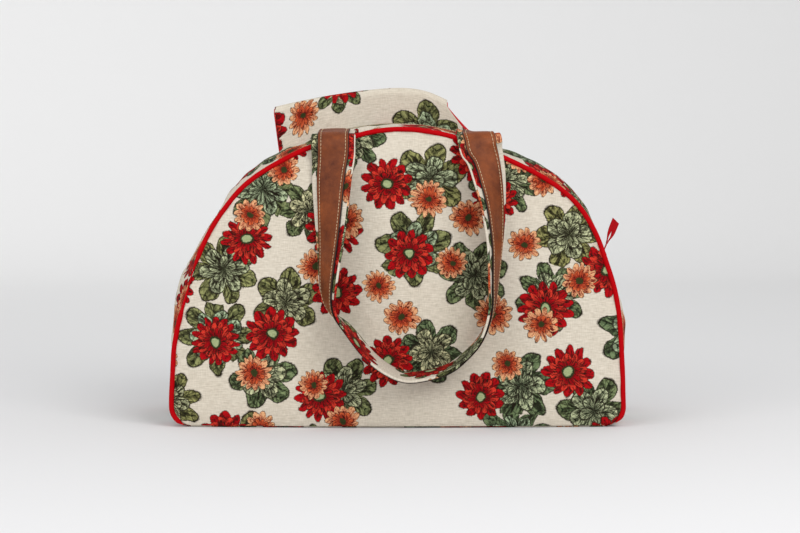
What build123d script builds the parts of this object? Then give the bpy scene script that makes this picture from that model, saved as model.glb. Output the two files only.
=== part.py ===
"""Soft dome-shaped travel bag in woven cloth, with a zip over the top, two handles faced in leather and a top sleeve.

Millimetres, +Z up. The origin is on the floor under the middle of the bag. The front faces -Y.
"""
from build123d import *
import math
import os

os.makedirs("parts", exist_ok=True)

# Bag body
dome_radius = 247.0  # middle of the piping, from the dome's axis
dome_centre_height = 78.0  # height of the dome's axis above the floor
bag_depth = 200.0  # front seam to back seam
cloth = 2.0  # woven cloth with its backing
panel_bulge = 10.0  # how far the front and back stand out in the middle
gusset_bulge = 7.0  # how far the strip round the dome stands out in the middle
seam_gap = 0.3  # between two layers that lie on each other
piping_diameter = 5.5
lower_corner_radius = 18.0  # the turn of the piping at the floor
lower_corner_turn_deg = 40.0

# Inside
board_thickness = 3.0
board_margin = 12.0
lining = 0.8

# Zip
zip_half_span_deg = 65.0  # slider at its end, from straight up
zip_seam_deg = 3.5  # from the slider at its end to the cross seam
zip_slot = 13.0  # opening between the two cloth edges
zip_tape = 0.8
zip_tape_reach = 14.0  # tape edge, from the middle of the zip
zip_row_width = 2.3
zip_row_height = 2.3
zip_row_spacing = 1.6  # between the two rows of teeth
stop_length = 3.6

# Slider
slider_length = 12.0
slider_width = 8.4
slider_plate = 1.2
slider_run_gap = 0.4
slider_neck_width = 0.9
slider_neck_length = 4.0
slider_lip = 0.7
bail_length = 8.4
bail_wire = 1.2
bail_width = 1.4
bail_room = 2.6  # under the bail

# Puller and its ribbon
puller_width = 4.8
puller_plate = 1.2
puller_pin = 1.2
puller_arm = 1.2
puller_body_start = 5.2
puller_length = 14.0
puller_eye_length = 3.4
puller_end_bar = 1.6
puller_lean_deg = 43.0  # from straight out of the zip, towards the top
ribbon_length = 27.0
ribbon_width = 9.0
ribbon_foot = 4.8
ribbon_thickness = 1.4
ribbon_slant = 6.0
ribbon_play = 0.4

# Handles
handle_spacing = 163.0  # middle of one leg to middle of the other
handle_drop = 264.0  # top of the fold to the bottom of the loop
handle_curve_height = 110.0
handle_shift = 12.0  # the whole handle sits to the right of the middle
handle_belly = 13.0  # how far each leg stands out sideways where the loop's curve starts
handle_turn_share = 0.8  # of half the loop, over which the strap makes its quarter turn
strap_width = 48.0
strap_thickness = 2.6
leather_width = 34.0
leather_thickness = 1.8
leather_gap = 0.8
fold_rise = 13.0  # middle of the strap above the piping
fold_reach = 11.0  # in front of the seam where the strap turns down
fold_radius = 12.0
fold_shares = (0.0, 0.25, 0.5, 0.75, 1.0)  # of the quarter turn
hang_clearance = 1.5
seat_shares = (0.42, 0.50, 0.58)  # of half the depth
rise_shares = ((0.72, 0.22), (0.86, 0.78))  # of half the depth, and of the height up to the fold
leg_shares = (0.25, 0.4, 0.55, 0.7, 0.85)  # of the straight leg
curve_shares = (0.0, 0.2, 0.4, 0.6, 0.8, 1.0)  # of the quarter loop

# Top sleeve
sleeve_left = -146.0
sleeve_right = 80.0
sleeve_left_rise = 13.0  # top line above the top of the dome, at the left-hand end
sleeve_top_rise = 36.0
sleeve_right_rise = 18.0
sleeve_slant_run = 24.0  # slope of the right-hand end
sleeve_slant_drop = 32.0
sleeve_front = 18.0
sleeve_depth = 15.0
sleeve_low_share = 0.6  # of the dome's radius, where the sleeve's uncut shape ends
sleeve_fold = 5.0  # width of the slope along each top edge
sleeve_lining_show = 2.5

overrun = 20.0  # how far a cutting shape runs past what it cuts

half_depth = bag_depth / 2
piping_radius = piping_diameter / 2
crest_radius = dome_radius + gusset_bulge
gusset_edge = half_depth - piping_radius - seam_gap
panel_edge = dome_radius - piping_radius - seam_gap
panel_corner_radius = lower_corner_radius - piping_radius - seam_gap
zip_end_deg = 90 - zip_half_span_deg
cross_seam_deg = zip_end_deg - zip_seam_deg
stop_span_deg = math.degrees(stop_length / crest_radius)
seam_span_deg = math.degrees(seam_gap / crest_radius)
tape_top = crest_radius - cloth - seam_gap
tape_bottom = tape_top - zip_tape
row_bottom = tape_top + seam_gap
row_top = row_bottom + zip_row_height
row_inner = zip_row_spacing / 2
row_outer = row_inner + zip_row_width
plate_bottom = row_top + slider_run_gap
plate_top = plate_bottom + slider_plate
pin_radius_from_axis = plate_top + bail_room / 2
bail_bottom = plate_top + bail_room
leg_x = handle_spacing / 2
slope_share = 2 - math.sqrt(2)  # of a layer's inset, for an even wall round a sloped edge

dome_axis = Axis((0, 0, dome_centre_height), (0, -1, 0))
dome_plane = Plane.XY.offset(dome_centre_height)


def gusset_radius(y, inset=0):
    """Distance of the gusset's face from the dome's axis: a flat arch across the depth, lowered by inset."""
    return dome_radius + gusset_bulge * (1 - (y / gusset_edge) ** 2) - inset


def panel_face(r, inset=0):
    """Distance of a panel's face from the middle plane: a flat dome, lowered by inset."""
    return half_depth + panel_bulge * (1 - (r / dome_radius) ** 2) - inset


def curve_through(point_at, start, end):
    """Arc through a line of places at its start, middle and end."""
    return ThreePointArc(point_at(start), point_at((start + end) / 2), point_at(end))


def layer(near, far):
    """Face in the dome's plane between two open curves that run the same way."""
    ends = [Line(near @ 1, far @ 1), Line(far @ 0, near @ 0)]
    return dome_plane * make_face([near, far, *ends])


def gusset_layer(start, end, inset, thickness):
    """Section of a strip of the gusset from one Y to another."""
    outer = curve_through(lambda y: (gusset_radius(y, inset), y), start, end)
    inner = curve_through(lambda y: (gusset_radius(y, inset + thickness), y), start, end)
    return layer(outer, inner)


def panel_layer(edge, inset, thickness):
    """Section of the front panel from the dome's axis to an edge radius."""
    outer = curve_through(lambda r: (r, -panel_face(r, inset)), 0, edge)
    inner = curve_through(lambda r: (r, -panel_face(r, inset + thickness)), 0, edge)
    return layer(outer, inner)


def ring_block(bottom, top, start, end):
    """Section of a plain block between two radii and two Y."""
    corners = [(bottom, start), (top, start), (top, end), (bottom, end)]
    return dome_plane * make_face(Polyline(*corners, close=True))


def turned(section, start_deg, end_deg):
    """Section carried round the dome's axis, in degrees above the right-hand side."""
    solid = revolve(section, axis=dome_axis, revolution_arc=end_deg - start_deg)
    return solid.rotate(dome_axis, start_deg)


def legs(section, foot):
    """Section carried straight down from the dome's axis on both sides."""
    right = extrude(section, amount=foot - dome_centre_height)
    return right, mirror(right, about=Plane.YZ)


def arch(section, foot=0):
    """Section carried over the whole dome and down to its feet."""
    right, left = legs(section, foot)
    return turned(section, 0, 180) + right + left


def plan(inset, bottom, thickness):
    """Flat plate with the outline of the bag seen from above, drawn in by inset."""
    x, y = dome_radius - inset, half_depth - inset
    side, front = crest_radius - inset, panel_face(0, inset)
    edges = [
        ThreePointArc((-x, -y), (0, -front), (x, -y)),
        ThreePointArc((x, -y), (side, 0), (x, y)),
        ThreePointArc((x, y), (0, front), (-x, y)),
        ThreePointArc((-x, y), (-side, 0), (-x, -y)),
    ]
    return extrude(Plane.XY.offset(bottom) * make_face(edges), amount=thickness)


def panel():
    """Front panel, with its two lower corners rounded inside the piping."""
    sheet = arch(panel_layer(panel_edge, 0, cloth))
    corners = [e for e in sheet.edges().filter_by(Axis.Y) if abs(e.center().X) > dome_radius / 2]
    low = [e for e in corners if e.center().Z < cloth]
    return fillet(low, panel_corner_radius)


def piping():
    """Red cord in the front seam: over the dome, down the sides and in at the floor."""
    foot = panel_corner_radius
    section = dome_plane * Pos(dome_radius, -half_depth) * Circle(piping_radius)
    turn_axis = Axis((dome_radius - lower_corner_radius, 0, foot), (0, 1, 0))
    low_section = Pos(0, 0, foot - dome_centre_height) * section
    right = revolve(low_section, axis=turn_axis, revolution_arc=lower_corner_turn_deg)
    return arch(section, foot) + right + mirror(right, about=Plane.YZ)


def side_gusset():
    """Right-hand strip from the floor up to the end of the zip."""
    section = gusset_layer(-gusset_edge, gusset_edge, 0, cloth)
    return legs(section, 0)[0] + turned(section, 0, cross_seam_deg)


def zip_gusset():
    """Strip between the front seam and the zip."""
    section = gusset_layer(-gusset_edge, -zip_slot / 2, 0, cloth)
    return turned(section, cross_seam_deg, 180 - cross_seam_deg)


def lining_gusset(inset, foot):
    """Lining of the whole strip, open along the zip."""
    section = gusset_layer(-gusset_edge, gusset_edge, inset, lining)
    strip = arch(section, foot)
    mouth = ring_block(dome_radius / 2, crest_radius, -zip_tape_reach, zip_tape_reach)
    return strip - turned(mouth, cross_seam_deg, 180 - cross_seam_deg)


def zip_half_tape():
    section = ring_block(tape_bottom, tape_top, -zip_tape_reach, -row_inner)
    return turned(section, cross_seam_deg, 180 - cross_seam_deg)


def zip_row():
    section = ring_block(row_bottom, row_top, -row_outer, -row_inner)
    start = cross_seam_deg + stop_span_deg
    return turned(section, start, 180 - start)


def zip_stop():
    """Clamp across both rows at the right-hand end of the zip."""
    section = ring_block(row_bottom, row_top, -row_outer, row_outer)
    return turned(section, cross_seam_deg, cross_seam_deg + stop_span_deg - seam_span_deg)


def span(section, length, shift=0):
    """Section carried round the zip over a length that is centred on the slider."""
    half = math.degrees(length / 2 / crest_radius)
    at = zip_end_deg + math.degrees(shift / crest_radius)
    return turned(section, at - half, at + half)


def slider():
    """Two plates joined by a thin neck, with lips beside the teeth and a bail on top."""
    half = slider_width / 2
    low_top = tape_bottom - slider_run_gap
    upper = span(ring_block(plate_bottom, plate_top, -half, half), slider_length)
    lower = span(ring_block(low_top - slider_plate, low_top, -half, half), slider_length)
    neck_half = slider_neck_width / 2
    neck_shift = (slider_length - slider_neck_length) / 2
    neck = span(ring_block(low_top, plate_bottom, -neck_half, neck_half), slider_neck_length, neck_shift)
    lip_bottom = tape_top + slider_run_gap
    lips = [
        span(ring_block(lip_bottom, plate_bottom, y, y + slider_lip), slider_length)
        for y in (-half, half - slider_lip)
    ]
    bail_half = bail_width / 2
    bar = span(ring_block(bail_bottom, bail_bottom + bail_wire, -bail_half, bail_half), bail_length)
    posts = [
        span(ring_block(plate_top, bail_bottom, -bail_half, bail_half), bail_wire, shift)
        for shift in ((bail_length - bail_wire) / 2, (bail_wire - bail_length) / 2)
    ]
    return upper + lower + neck + lips + bar + posts


def pull_place():
    """Frame at the puller's pin: X along the puller, Z along the pin."""
    out = Plane(origin=(0, 0, dome_centre_height), x_dir=(1, 0, 0), z_dir=(0, -1, 0))
    at_pin = out * Rot(0, 0, zip_end_deg) * Pos(pin_radius_from_axis, 0, 0)
    return at_pin * Rot(0, 0, puller_lean_deg)


def puller():
    """Flat tab on a pin under the bail, with an eye near its end for the ribbon."""
    half = puller_width / 2
    pin = Cylinder(puller_pin / 2, puller_width)
    arm_length = puller_body_start + puller_arm
    arms = [
        Pos(arm_length / 2, 0, z) * Box(arm_length, puller_plate, puller_arm)
        for z in (half - puller_arm / 2, puller_arm / 2 - half)
    ]
    body_length = puller_length - puller_body_start
    body = Pos(puller_body_start + body_length / 2, 0, 0) * Box(body_length, puller_plate, puller_width)
    eye_end = puller_length - puller_end_bar
    eye = Box(puller_eye_length, overrun, puller_width - 2 * puller_arm)
    return pin + arms + body - Pos(eye_end - puller_eye_length / 2, 0, 0) * eye


def ribbon():
    """Folded red ribbon round the end bar of the puller, widening to a slanted end."""
    bar_middle = puller_length - puller_end_bar / 2
    hole_length = puller_end_bar + 2 * ribbon_play
    hole_width = puller_plate + 2 * ribbon_play
    start = bar_middle - hole_length / 2 - ribbon_thickness
    end = bar_middle + ribbon_length
    shoulder = bar_middle + hole_length
    outline = Polyline(
        (start, -ribbon_foot / 2),
        (shoulder, -ribbon_foot / 2),
        (end, -ribbon_width / 2),
        (end - ribbon_slant, ribbon_width / 2),
        (shoulder, ribbon_foot / 2),
        (start, ribbon_foot / 2),
        close=True,
    )
    tab = extrude(make_face(outline), amount=ribbon_thickness / 2, both=True)
    return tab - Pos(bar_middle, 0, 0) * Box(hole_length, hole_width, overrun)


def over_gusset(x, y, lift):
    """Point above the gusset."""
    radius = gusset_radius(y) + lift
    return Vector(x, y, dome_centre_height + math.sqrt(radius**2 - x**2))


def hanging(x, z, turn_deg):
    """Point of the strap's middle in front of the panel, as far out as its turned width needs."""
    above = max(z - dome_centre_height, 0)
    face = panel_face(min(math.hypot(x, above), dome_radius))
    out = strap_width / 2 * math.sin(math.radians(turn_deg)) + strap_thickness / 2 + hang_clearance
    return Vector(x, -max(face + out, half_depth + fold_reach), z)


def turn_at(share):
    """Turn of the strap in degrees at a share of half the loop: a quarter turn that slows towards its end."""
    return 90 * math.sin(math.pi / 2 * min(1, share / handle_turn_share))


def seat_and_fold(x, crest):
    """Middle points of the strap from its sewn end up over the piping and into the fold."""
    lift = seam_gap + strap_thickness / 2
    points = [over_gusset(x, -share * half_depth, lift) for share in seat_shares]
    seat_height = points[-1].Z
    for out_share, up_share in rise_shares:
        points.append(Vector(x, -out_share * half_depth, seat_height + (crest - seat_height) * up_share))
    fold_middle = Vector(x, fold_radius - fold_reach - half_depth, crest - fold_radius)
    for share in fold_shares:
        angle = share * math.pi / 2
        points.append(fold_middle + Vector(0, -math.sin(angle), math.cos(angle)) * fold_radius)
    return points


def half_handle(side):
    """Middle points of the strap from one sewn end to the bottom of the loop, with the turn at each."""
    crest = over_gusset(leg_x, gusset_edge, piping_radius).Z + fold_rise
    points = [(point, 0) for point in seat_and_fold(handle_shift + side * leg_x, crest)]
    curve_top = crest - handle_drop + handle_curve_height
    leg_length = crest - curve_top
    half_width = leg_x + handle_belly
    curve_length = math.pi / 2 * math.hypot(half_width, handle_curve_height) / math.sqrt(2)
    leg_part = leg_length / (leg_length + curve_length)
    for share in leg_shares:
        x = leg_x + handle_belly * math.sin(share * math.pi / 2)
        turn = turn_at(share * leg_part)
        points.append((hanging(handle_shift + side * x, crest - share * leg_length, turn), turn))
    for share in curve_shares:
        angle = share * math.pi / 2
        turn = turn_at(leg_part + share * (1 - leg_part))
        x = half_width * math.cos(angle)
        z = curve_top - handle_curve_height * math.sin(angle)
        points.append((hanging(handle_shift + side * x, z, turn), turn))
    return points


def stations():
    """Frames along the whole handle: Z along the strap, X across it."""
    right = [(point, 180 - turn) for point, turn in half_handle(1)]
    points = half_handle(-1) + right[-2::-1]
    frames = []
    for i, (point, turn) in enumerate(points):
        before = points[max(i - 1, 0)][0]
        after = points[min(i + 1, len(points) - 1)][0]
        along = (after - before).normalized()
        angle = math.radians(180 - turn)
        across = Vector(math.cos(angle), math.sin(angle), 0)
        if abs(along.Y) > abs(along.Z) and abs(along.Y) > abs(along.X):
            outward = Vector(point.X, 0, point.Z - dome_centre_height)
            across = along.cross(outward)
        across = (across - along * across.dot(along)).normalized()
        frames.append(Plane(origin=point, x_dir=across, z_dir=along))
    return frames


def band(width, thickness, out):
    """Flat band carried along the handle, moved out from the strap's middle towards its outer face."""
    sections = [frame * Pos(0, -out) * Rectangle(width, thickness) for frame in stations()]
    return loft(sections)


def handle_strap():
    return band(strap_width, strap_thickness, 0)


def handle_leather():
    out = strap_thickness / 2 + leather_gap + leather_thickness / 2
    return band(leather_width, leather_thickness, out)


def sleeve_block(inset):
    """Round block whose rim is the sleeve's top line, drawn in by inset."""
    dome_top = dome_centre_height + crest_radius
    right_top = sleeve_right - sleeve_slant_run
    rim = ThreePointArc(
        (sleeve_left, dome_top + sleeve_left_rise),
        ((sleeve_left + right_top) / 2, dome_top + sleeve_top_rise),
        (right_top, dome_top + sleeve_right_rise),
    )
    disc = Pos(rim.arc_center) * Circle(rim.radius - inset)
    back = sleeve_front + sleeve_depth - inset
    block = extrude(Plane.XZ.offset(-back) * disc, amount=sleeve_depth - 2 * inset)
    slope = sleeve_fold - inset * slope_share
    return chamfer(block.edges().filter_by(GeomType.CIRCLE), slope)


def sleeve_ends(ends):
    """Solid between the sleeve's upright left end and its sloped right end, both moved out."""
    left, right = sleeve_left - ends, sleeve_right + ends
    low = dome_centre_height + dome_radius * sleeve_low_share
    corner = dome_centre_height + crest_radius + sleeve_right_rise
    outline = Polyline(
        (left, low),
        (left, corner + sleeve_slant_drop),
        (right - 2 * sleeve_slant_run, corner + sleeve_slant_drop),
        (right, corner - sleeve_slant_drop),
        (right, low),
        close=True,
    )
    return extrude(Plane.XZ * make_face(outline), amount=bag_depth, both=True)


def sleeve_layer(inset, thickness, ends):
    """One layer of the sleeve: an upside-down channel that stands on the gusset, open at both ends."""
    channel = sleeve_block(inset) & sleeve_ends(ends)
    front, back = sleeve_front - cloth, sleeve_front + sleeve_depth + cloth
    top_front, top_back = gusset_radius(front, -seam_gap), gusset_radius(back, -seam_gap)
    low = dome_radius / 2
    seat = Polyline((low, front), (top_front, front), (top_back, back), (low, back), close=True)
    return channel - sleeve_block(inset + thickness) - turned(dome_plane * make_face(seat), 0, 180)


def save(shape, name):
    export_step(shape, f"parts/{name}.step")


def save_pair(shape, front_name, back_name):
    """A front piece and its mirror image behind."""
    save(shape, front_name)
    save(mirror(shape, about=Plane.XZ), back_name)


lining_inset = cloth + seam_gap
board_bottom = cloth + seam_gap
board_top = board_bottom + board_thickness
lining_foot = board_top + seam_gap

save_pair(panel(), "front_panel", "back_panel")
save_pair(piping(), "piping_front", "piping_back")
save_pair(zip_gusset(), "zip_gusset_front", "zip_gusset_back")
save_pair(zip_half_tape(), "zip_tape_front", "zip_tape_back")
save_pair(zip_row(), "zip_teeth_front", "zip_teeth_back")
save_pair(handle_strap(), "handle_front_strap", "handle_back_strap")
save_pair(handle_leather(), "handle_front_leather", "handle_back_leather")
lining_section = panel_layer(panel_edge - cloth, lining_inset, lining)
save_pair(arch(lining_section, lining_foot), "lining_front", "lining_back")

right_gusset = side_gusset()
save(right_gusset, "side_gusset_right")
save(mirror(right_gusset, about=Plane.YZ), "side_gusset_left")
right_stop = zip_stop()
save(right_stop, "zip_stop_right")
save(mirror(right_stop, about=Plane.YZ), "zip_stop_left")

save(plan(cloth + seam_gap, 0, cloth), "base_panel")
save(plan(board_margin, board_bottom, board_thickness), "base_board")
save(lining_gusset(lining_inset, lining_foot), "lining_gusset")
save(slider(), "zip_slider")
save(pull_place() * puller(), "zip_puller")
save(pull_place() * ribbon(), "pull_ribbon")
save(sleeve_layer(0, cloth, 0), "top_sleeve")
save(sleeve_layer(cloth + seam_gap, lining, sleeve_lining_show), "top_sleeve_lining")
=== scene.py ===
import math

import bpy
import numpy as np
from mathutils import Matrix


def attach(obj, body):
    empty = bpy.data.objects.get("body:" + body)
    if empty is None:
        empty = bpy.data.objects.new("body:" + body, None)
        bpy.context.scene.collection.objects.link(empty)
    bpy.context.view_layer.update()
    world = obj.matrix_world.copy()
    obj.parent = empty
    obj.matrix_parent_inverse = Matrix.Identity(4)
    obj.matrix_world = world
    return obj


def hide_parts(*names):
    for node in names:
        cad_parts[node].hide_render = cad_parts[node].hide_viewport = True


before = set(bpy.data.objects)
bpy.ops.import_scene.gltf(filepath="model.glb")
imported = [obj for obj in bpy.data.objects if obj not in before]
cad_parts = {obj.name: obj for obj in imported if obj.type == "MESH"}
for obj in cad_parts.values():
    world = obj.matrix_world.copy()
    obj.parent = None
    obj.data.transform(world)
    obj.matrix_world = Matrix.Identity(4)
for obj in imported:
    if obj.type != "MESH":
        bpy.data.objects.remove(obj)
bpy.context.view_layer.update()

# Sizes in metres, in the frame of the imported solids. The dome's axis runs along Y.
dome_radius = 0.247  # middle of the piping
axis_height = 0.078
half_depth = 0.100
panel_bulge = 0.010
crest_radius = 0.254  # the zip's circle
piping_radius = 0.00275
gusset_edge = 0.09695
cloth = 0.002
foot_radius = 0.022  # turn of the seam at the floor
foot_height = 0.0227
leg_span = math.degrees((axis_height - foot_height) / dome_radius)
foot_span = math.degrees(foot_radius * math.pi / 2 / dome_radius)
foot_end = leg_span + foot_span
seam_swells = (  # height in metres, place and width in degrees
    (0.0095, 39, 13), (0.0024, 132, 10), (-0.0070, 164, 15),
    (-0.0025, 4, 8), (-0.0030, 66, 7), (-0.0030, 104, 7),
)

# Unevenness of the cloth
panel_wave = 0.0016
panel_sag = 0.003
sag_height = 0.035
sag_reach = 0.03
seam_pucker = 0.0007
pucker_reach = 0.011
pucker_count = 58
floor_roll = 0.004
roll_reach = 0.006
strip_puffs = (  # height in metres, first and last place and softness in degrees
    (0.0065, 116, 138, 4), (0.0055, 157, 169.5, 3), (-0.002, 142, 154, 3), (0.0045, 3, 13, 3),
)
shoulder_puff = 0.0098  # on the right
shoulder_place = 45.5
shoulder_width = 17.5
shoulder_end = (61, 64.5)
press_slope = 0.29  # under the left-hand strap
press_place = 106.3
press_span = (97.5, 112.5)
press_start = (0.034, 0.044)  # from the middle of the strip
still_span = (62, 116)  # where the strip has no creases
strip_crease = 0.0009
strip_wave = 0.0012
board_push = 0.0038  # of the base board into the feet
cross_seam_dip = 0.0012
piping_wave = 0.0004
piping_ends = (0.58, 0.74)  # of the foot's turn, on the right and left
piping_tail = 2.2  # degrees
piping_covers = ((0.75, 155, 163), (0.45, 163, 168))  # share, first and last place in degrees
sleeve_ripple = 0.0012
floor_gap = 0.0003
base_gap = 0.0004
base_hollow = 0.0003
base_overlap = 0.0015  # under the feet
base_inset = 0.0045

# Linings
lining_thickness = 0.0008
panel_lining_inset = 0.0027
strip_lining_inset = cloth + 0.0006
sleeve_lining_inset = 0.0023

# Zip and its hem
cross_seam = 21.5  # degrees above each side, where the zip ends
zip_hem = 0.0065
hem_drop = 0.0011
hem_width = 0.004
zip_stitch_pitch = 0.0034
zip_stitch_inset = 0.0032
zip_thread_radius = 0.0003
tape_thickness = 0.0008
tape_top = 0.2517
tape_edge = 0.014
row_bottom = 0.2520
row_top = 0.2543
row_inner = 0.0008
row_outer = 0.0031
tooth_reach = 0.0006  # past the middle, between the teeth of the other row
tooth_pitch = 0.0016
stop_span = math.degrees(0.0036 / crest_radius)
stop_clear = 0.15  # degrees
thread_rise = 0.0001

# Ribbon pull
pull_pin = np.array((0.233102, 0.0, 0.186697))
pull_turn = math.radians(68)  # of the puller above the level
ribbon_start = 0.0106  # from the pin
ribbon_end = 0.0402
ribbon_half_width = 0.0045
ribbon_slant = 0.4
ribbon_thickness = 0.0006

# Handle straps
seat_x = (-0.0695, 0.0872)  # of the sewn ends
seat_shares = np.array([0.42, 0.50, 0.58])  # of the half depth
seat_gap = 0.0003
rise_y = (-0.072, -0.086)
rise_shares = np.array([0.22, 0.78])
fold_x = 0.0815
fold_count = 5
fold_drift = 0.0028  # of the right-hand strap, sideways
fold_turn = math.radians(8)
left_level = 0.95  # how far a sewn end stays level on the arch
right_level = 1.12
right_level_span = (-0.100, -0.076)  # Y
loop_line = np.array([  # X, Z, turn and lean in degrees along the hanging strap
    [-0.0693, 0.298, 8, 0], [-0.0706, 0.275, 24, 0], [-0.0713, 0.249, 35, 0], [-0.0718, 0.222, 45, 0],
    [-0.0728, 0.195, 55, 0], [-0.0745, 0.157, 66, 0], [-0.0728, 0.140, 71, 2], [-0.0675, 0.1275, 77, 5],
    [-0.0580, 0.1165, 84, 8], [-0.0416, 0.096, 89, 9], [-0.0267, 0.079, 90, 8], [-0.0091, 0.066, 90, 7],
    [0.0090, 0.059, 90, 6], [0.0296, 0.0605, 90, 5], [0.0562, 0.069, 90, 4], [0.0740, 0.083, 90, 2],
    [0.0865, 0.097, 91, 1], [0.0945, 0.112, 93, 0], [0.1007, 0.133, 97, 0], [0.1028, 0.161, 103, 0],
    [0.1046, 0.195, 110, 0], [0.1042, 0.222, 118, 0], [0.1021, 0.249, 128, 0], [0.0981, 0.275, 141, 0],
    [0.0929, 0.297, 158, 0],
])
strap_width = 0.048
strap_thickness = 0.0026
leather_width = 0.034
leather_thickness = 0.0018
fold_rise = 0.005
fold_reach = 0.011
fold_radius = 0.012
panel_gap = 0.0015  # between the hanging strap and the panel
facing_gap = 0.0004
strap_crown = 0.0003
facing_crown = 0.0005
stitch_groove = 0.0005
groove_width = 0.0011
stitch_inset = 0.0037
stitch_pitch = 0.0037
stitch_length = 0.0027
stitch_margins = (0.003, 0.004)  # at the two ends
handle_thread_radius = 0.00032

# Sleeve on the top
sleeve_front = 0.018
sleeve_back = 0.033
sleeve_ends = (-0.1335, 0.082)
left_slope = 0.0065  # of the ends, over their height
right_slope = 0.0255
sleeve_line = np.array([  # X and Z along its top fold
    [-0.152, 0.3482], [-0.140, 0.3513], [-0.077, 0.3645], [-0.020, 0.3718],
    [0.018, 0.3720], [0.036, 0.3680], [0.057, 0.3588], [0.095, 0.3420],
])


# Meshes

def mesh_object(name, points, faces, uv=None):
    """Object from points, faces and one UV pair per face corner, shaded smooth."""
    mesh = bpy.data.meshes.new(name)
    mesh.from_pydata(points.reshape(-1, 3).tolist(), [], faces)
    if uv is not None:
        layer = mesh.uv_layers.new(name="cloth")
        layer.data.foreach_set("uv", np.asarray(uv, dtype=np.float32).ravel())
    mesh.polygons.foreach_set("use_smooth", np.ones(len(mesh.polygons), dtype=bool))
    made = bpy.data.objects.new(name, mesh)
    bpy.context.scene.collection.objects.link(made)
    return made


def cells(rows, columns, closed=False):
    """Row and column numbers of the corners of a grid's cells, whose columns go round where it is closed."""
    a, b = np.meshgrid(np.arange(rows - 1), np.arange(columns if closed else columns - 1), indexing="ij")
    row = np.stack([a, a + 1, a + 1, a], axis=-1).reshape(-1, 4)
    column = np.stack([b, b, b + 1, b + 1], axis=-1).reshape(-1, 4)
    return row, column


def surface(name, points, uv, flip=False, close_columns=False, caps=False):
    """Object on a grid of points (rows, columns, xyz).

    Its UV pairs are on a grid that has one more column where the columns close.
    """
    rows, columns = points.shape[:2]
    row, column = cells(rows, columns, close_columns)
    faces = row * columns + column % columns
    corner_uv = uv[row, column]
    if flip:
        faces, corner_uv = faces[:, ::-1], corner_uv[:, ::-1]
    faces = faces.tolist()
    corner_uv = corner_uv.reshape(-1, 2)
    if caps:
        first = np.arange(columns)
        ends = [first if flip else first[::-1], (first[::-1] if flip else first) + (rows - 1) * columns]
        faces += [end.tolist() for end in ends]
        corner_uv = np.concatenate([corner_uv, np.zeros((2 * columns, 2))])
    return mesh_object(name, points, faces, corner_uv)


def carried(name, path, side, up, profile, flip=False):
    """Closed profile (pairs along side and up) carried along a path, with flat ends.

    UV runs round the profile and along the path.
    """
    points = path[:, None] + side[:, None] * profile[None, :, :1] + up[:, None] * profile[None, :, 1:]
    loop = np.concatenate([profile, profile[:1]])
    round_length = lengths_along(loop)
    length = lengths_along(path)
    uv = np.stack(np.broadcast_arrays(round_length[None, :], length[:, None]), axis=-1)
    return surface(name, points, uv, flip, close_columns=True, caps=True)


def lengths_along(points):
    """Length from the first point of a line to each point."""
    steps = np.linalg.norm(np.diff(points, axis=0), axis=1)
    return np.concatenate([[0], np.cumsum(steps)])


def spline(points, count):
    """Natural cubic spline through points, spaced by their distances, read at count places."""
    t = lengths_along(points[:, :3])
    n, h = len(t), np.diff(t)
    system = np.eye(n)
    middle = np.arange(1, n - 1)
    system[middle, middle - 1] = h[:-1]
    system[middle, middle] = 2 * (h[:-1] + h[1:])
    system[middle, middle + 1] = h[1:]
    slope = np.diff(points, axis=0) / h[:, None]
    right = np.zeros_like(points)
    right[1:-1] = 6 * np.diff(slope, axis=0)
    bend = np.linalg.solve(system, right)
    s = np.linspace(0, t[-1], count)
    k = np.clip(np.searchsorted(t, s, side="right") - 1, 0, n - 2)
    left, rest, span = (s - t[k])[:, None], (t[k + 1] - s)[:, None], h[k][:, None]
    cubic = (bend[k] * rest**3 + bend[k + 1] * left**3) / (6 * span)
    first = points[k] / span - bend[k] * span / 6
    second = points[k + 1] / span - bend[k + 1] * span / 6
    return cubic + first * rest + second * left


def at_lengths(wanted, length, points):
    """Points of a line read at wanted lengths along it."""
    return np.stack([np.interp(wanted, length, points[:, i]) for i in range(3)], axis=-1)


def unit(vectors):
    """Vectors made 1 long."""
    return vectors / np.linalg.norm(vectors, axis=-1, keepdims=True)


def step(x, low, high):
    """Smooth step from 0 at low to 1 at high."""
    t = np.clip((x - low) / (high - low), 0, 1)
    return t * t * (3 - 2 * t)


def between(x, low, high, soft):
    """1 between low and high, falling softly to 0 outside."""
    return (np.tanh((x - low) / soft) - np.tanh((x - high) / soft)) / 2


def slow_waves(x, y, seed, shortest, longest, count=7):
    """Sum of a few slow waves in seeded directions, between about -1 and 1."""
    rng = np.random.default_rng(seed)
    angle = rng.uniform(0, math.pi, count)
    number = 2 * math.pi / rng.uniform(shortest, longest, count)
    phase = rng.uniform(0, 2 * math.pi, count)
    along = x[..., None] * np.cos(angle) + y[..., None] * np.sin(angle)
    return np.sin(along * number + phase).sum(axis=-1) / math.sqrt(count * 2)


def repeated(name, shapes):
    """Object of many like shapes in an array (shapes, rings, points, xyz).

    Each is closed round its points and capped at its end rings.
    """
    many, rings, around = shapes.shape[:3]
    row, column = cells(rings, around, closed=True)
    one = row * around + column % around
    first = np.arange(many)[:, None] * rings * around
    faces = (first[:, :, None] + one[None]).reshape(-1, 4).tolist()
    low = (first + np.arange(around)[None, ::-1]).tolist()
    high = (first + np.arange(around)[None] + (rings - 1) * around).tolist()
    return mesh_object(name, shapes, faces + low + high)


def thicken(made, thickness):
    """Gives a sheet its thickness, inwards."""
    solid = made.modifiers.new("thickness", "SOLIDIFY")
    solid.thickness = thickness
    solid.offset = -1
    return made


# Shape of the bag

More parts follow.
